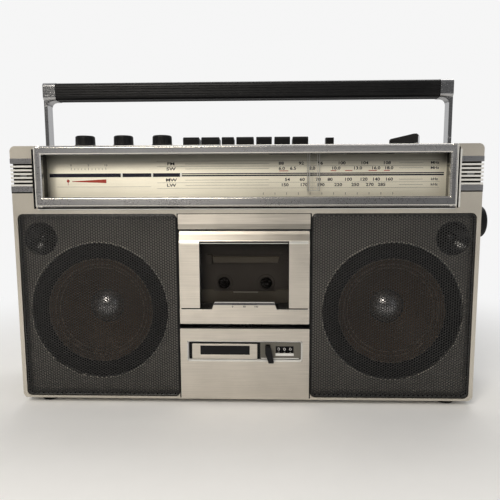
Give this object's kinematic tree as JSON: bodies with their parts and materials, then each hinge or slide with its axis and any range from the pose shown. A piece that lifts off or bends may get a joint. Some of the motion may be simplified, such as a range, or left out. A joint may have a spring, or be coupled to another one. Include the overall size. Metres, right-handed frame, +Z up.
{
  "type": "radio cassette recorder",
  "caption": "Portable stereo radio cassette recorder with a wide dial, two perforated speaker grilles, a front cassette door, top keys and a fold-down handle.",
  "frame": {"origin": "on the floor under the middle of the object's box", "axes": "+X to the right seen from the front, +Y from the front to the back, +Z up"},
  "size_m": [0.465, 0.12, 0.327],
  "materials": {
    "silver_plastic": "satin silver-painted moulding",
    "graphite_plastic": "fine-grained dark grey moulding",
    "chrome": "chrome plating with light pitting",
    "brushed_aluminium": "brushed champagne aluminium",
    "black_plastic": "satin black moulding",
    "black_steel": "black painted perforated steel",
    "clear_acrylic": "clear moulded acrylic",
    "smoked_acrylic": "smoked acrylic",
    "plated_steel": "zinc-plated pressed steel",
    "paper_cone": "dark doped paper",
    "rubber": "black rubber",
    "white_plastic": "off-white moulded plastic",
    "brass": "turned brass",
    "ferrite": "dark sintered ferrite",
    "board": "phenolic circuit board"
  },
  "bodies": {
    "cabinet": {"front_cabinet": "silver_plastic", "rear_cabinet": "graphite_plastic", "top_panel": "graphite_plastic", "rubber_feet": "rubber", "cabinet_screws": "plated_steel", "dial_bezel": "chrome", "dial_lens": "clear_acrylic", "dial_scale": "brushed_aluminium", "dial_cord": "black_plastic", "tuning_capacitor": "plated_steel", "left_grille": "black_steel", "right_grille": "black_steel", "woofer_baskets": "plated_steel", "woofer_cones": "paper_cone", "tweeters": "paper_cone", "microphones": "plated_steel", "trim_plates": "brushed_aluminium", "recess_insert": "black_plastic", "counter_carry_drums": "black_plastic", "mechanism_chassis": "plated_steel", "drive_motor": "plated_steel", "drive_belt": "rubber", "key_shaft": "plated_steel", "control_pots": "plated_steel", "main_board": "board", "ferrite_rod": "ferrite", "power_transformer": "plated_steel", "battery_contacts": "plated_steel", "jack_panel": "black_plastic"},
    "handle": {"handle_arms": "chrome", "handle_grip": "black_plastic"},
    "cassette_door": {"door_frame": "brushed_aluminium", "door_window": "smoked_acrylic", "cassette_holder": "black_plastic"},
    "antenna_base": {"antenna_base": "chrome"},
    "antenna_tube": {"antenna_tube": "chrome"},
    "antenna_tip": {"antenna_tip": "chrome"},
    "key_record": {"key_record": "black_plastic"},
    "key_play": {"key_play": "black_plastic"},
    "key_search": {"key_search": "black_plastic"},
    "key_rewind": {"key_rewind": "black_plastic"},
    "key_forward": {"key_forward": "black_plastic"},
    "key_stop_eject": {"key_stop_eject": "black_plastic"},
    "key_pause": {"key_pause": "black_plastic"},
    "battery_cover": {"battery_cover": "graphite_plastic"},
    "dial_pointer": {"dial_pointer": "clear_acrylic"},
    "tuning_drum": {"tuning_drum": "white_plastic"},
    "tuning_knob": {"tuning_knob": "black_plastic"},
    "counter_reset": {"counter_reset": "black_plastic"},
    "counter_units_drum": {"counter_units_drum": "black_plastic"},
    "head_plate": {"head_plate": "plated_steel"},
    "supply_spindle": {"supply_spindle": "white_plastic"},
    "takeup_spindle": {"takeup_spindle": "white_plastic"},
    "capstan_flywheel": {"capstan_flywheel": "plated_steel"},
    "motor_pulley": {"motor_pulley": "brass"},
    "volume_knob": {"volume_knob": "black_plastic"},
    "balance_knob": {"balance_knob": "black_plastic"},
    "tone_knob": {"tone_knob": "black_plastic"},
    "band_knob": {"band_knob": "black_plastic"},
    "function_switch": {"function_switch": "black_plastic"}
  },
  "joints": [
    {"name": "handle_fold", "type": "hinge", "parent": "cabinet", "child": "handle", "pos_m": [-0.0075, 0.013, 0.236], "axis": [-1, 0, 0], "range_deg": [0, 90]},
    {"name": "door_open", "type": "hinge", "parent": "cabinet", "child": "cassette_door", "pos_m": [-0.0075, -0.046, 0.094], "axis": [1, 0, 0], "range_deg": [0, 26]},
    {"name": "key_record_press", "type": "hinge", "parent": "cabinet", "child": "key_record", "pos_m": [-0.0075, 0.035, 0.24], "axis": [1, 0, 0], "range_deg": [0, 6], "stiffness_Nm_per_rad": 1.3},
    {"name": "key_play_press", "type": "hinge", "parent": "cabinet", "child": "key_play", "pos_m": [-0.0075, 0.035, 0.24], "axis": [1, 0, 0], "range_deg": [0, 6], "stiffness_Nm_per_rad": 1.3},
    {"name": "key_search_press", "type": "hinge", "parent": "cabinet", "child": "key_search", "pos_m": [-0.0075, 0.035, 0.24], "axis": [1, 0, 0], "range_deg": [0, 6], "stiffness_Nm_per_rad": 1.3},
    {"name": "key_rewind_press", "type": "hinge", "parent": "cabinet", "child": "key_rewind", "pos_m": [-0.0075, 0.035, 0.24], "axis": [1, 0, 0], "range_deg": [0, 6], "stiffness_Nm_per_rad": 1.3},
    {"name": "key_forward_press", "type": "hinge", "parent": "cabinet", "child": "key_forward", "pos_m": [-0.0075, 0.035, 0.24], "axis": [1, 0, 0], "range_deg": [0, 6], "stiffness_Nm_per_rad": 1.3},
    {"name": "key_stop_eject_press", "type": "hinge", "parent": "cabinet", "child": "key_stop_eject", "pos_m": [-0.0075, 0.035, 0.24], "axis": [1, 0, 0], "range_deg": [0, 6], "stiffness_Nm_per_rad": 1.3},
    {"name": "key_pause_press", "type": "hinge", "parent": "cabinet", "child": "key_pause", "pos_m": [-0.0075, 0.035, 0.24], "axis": [1, 0, 0], "range_deg": [0, 6], "stiffness_Nm_per_rad": 1.3},
    {"name": "volume_knob_turn", "type": "hinge", "parent": "cabinet", "child": "volume_knob", "pos_m": [-0.17409, -0.0085, 0.262], "axis": [0, 0, 1], "range_deg": [-150, 150]},
    {"name": "balance_knob_turn", "type": "hinge", "parent": "cabinet", "child": "balance_knob", "pos_m": [-0.134, -0.0085, 0.262], "axis": [0, 0, 1], "range_deg": [-150, 150]},
    {"name": "tone_knob_turn", "type": "hinge", "parent": "cabinet", "child": "tone_knob", "pos_m": [-0.0937, -0.0085, 0.262], "axis": [0, 0, 1], "range_deg": [-150, 150]},
    {"name": "band_knob_turn", "type": "hinge", "parent": "cabinet", "child": "band_knob", "pos_m": [0.1545, -0.0085, 0.262], "axis": [0, 0, 1], "range_deg": [-60, 60]},
    {"name": "function_switch_slide", "type": "slide", "parent": "cabinet", "child": "function_switch", "axis": [1, 0, 0], "range_m": [-0.004, 0.004]},
    {"name": "tuning_knob_turn", "type": "hinge", "parent": "cabinet", "child": "tuning_knob", "pos_m": [0.2175, -0.018, 0.1815], "axis": [1, 0, 0], "range_deg": [-423.99, 893.81]},
    {"name": "dial_pointer_slide", "type": "slide", "parent": "cabinet", "child": "dial_pointer", "axis": [1, 0, 0], "range_m": [-0.037, 0.078]},
    {"name": "tuning_drum_turn", "type": "hinge", "parent": "cabinet", "child": "tuning_drum", "pos_m": [0.1225, -0.032, 0.2105], "axis": [0, 1, 0], "range_deg": [-59.55, 125.54]},
    {"name": "supply_spindle_turn", "type": "hinge", "parent": "cabinet", "child": "supply_spindle", "pos_m": [-0.02875, -0.034, 0.121], "axis": [0, 1, 0], "continuous": true},
    {"name": "takeup_spindle_turn", "type": "hinge", "parent": "cabinet", "child": "takeup_spindle", "pos_m": [0.01375, -0.034, 0.121], "axis": [0, 1, 0], "continuous": true},
    {"name": "counter_units_turn", "type": "hinge", "parent": "cabinet", "child": "counter_units_drum", "pos_m": [0.0379, -0.0427, 0.0565], "axis": [1, 0, 0], "continuous": true},
    {"name": "flywheel_turn", "type": "hinge", "parent": "cabinet", "child": "capstan_flywheel", "pos_m": [0.024, -0.019, 0.097], "axis": [0, 1, 0], "continuous": true},
    {"name": "motor_pulley_turn", "type": "hinge", "parent": "cabinet", "child": "motor_pulley", "pos_m": [-0.0425, -0.019, 0.072], "axis": [0, 1, 0], "continuous": true},
    {"name": "head_plate_slide", "type": "slide", "parent": "cabinet", "child": "head_plate", "axis": [0, 0, 1], "range_m": [0, 0.005]},
    {"name": "counter_reset_push", "type": "slide", "parent": "cabinet", "child": "counter_reset", "axis": [0, 1, 0], "range_m": [0, 0.0025], "stiffness_N_per_m": 300},
    {"name": "battery_cover_remove", "type": "slide", "parent": "cabinet", "child": "battery_cover", "axis": [0, 1, 0], "range_m": [0, 0.04]},
    {"name": "antenna_swivel", "type": "hinge", "parent": "cabinet", "child": "antenna_base", "pos_m": [0.1825, 0.0525, 0.246], "axis": [0, 0, -1], "range_deg": [0, 90]},
    {"name": "antenna_tilt", "type": "hinge", "parent": "antenna_base", "child": "antenna_tube", "pos_m": [0.1825, 0.0525, 0.2525], "axis": [0, 1, 0], "range_deg": [0, 90]},
    {"name": "antenna_extend", "type": "slide", "parent": "antenna_tube", "child": "antenna_tip", "axis": [-1, 0, 0], "range_m": [0, 0.14]}
  ],
  "couplings": [
    {"joint": "dial_pointer_slide", "follows": "tuning_knob_turn", "m_per_rad": 0.005},
    {"joint": "tuning_drum_turn", "follows": "tuning_knob_turn", "ratio": 0.14045},
    {"joint": "head_plate_slide", "follows": "key_play_press", "m_per_rad": 0.047746},
    {"joint": "counter_units_turn", "follows": "takeup_spindle_turn", "ratio": 0.5},
    {"joint": "motor_pulley_turn", "follows": "flywheel_turn", "ratio": 7.5}
  ]
}
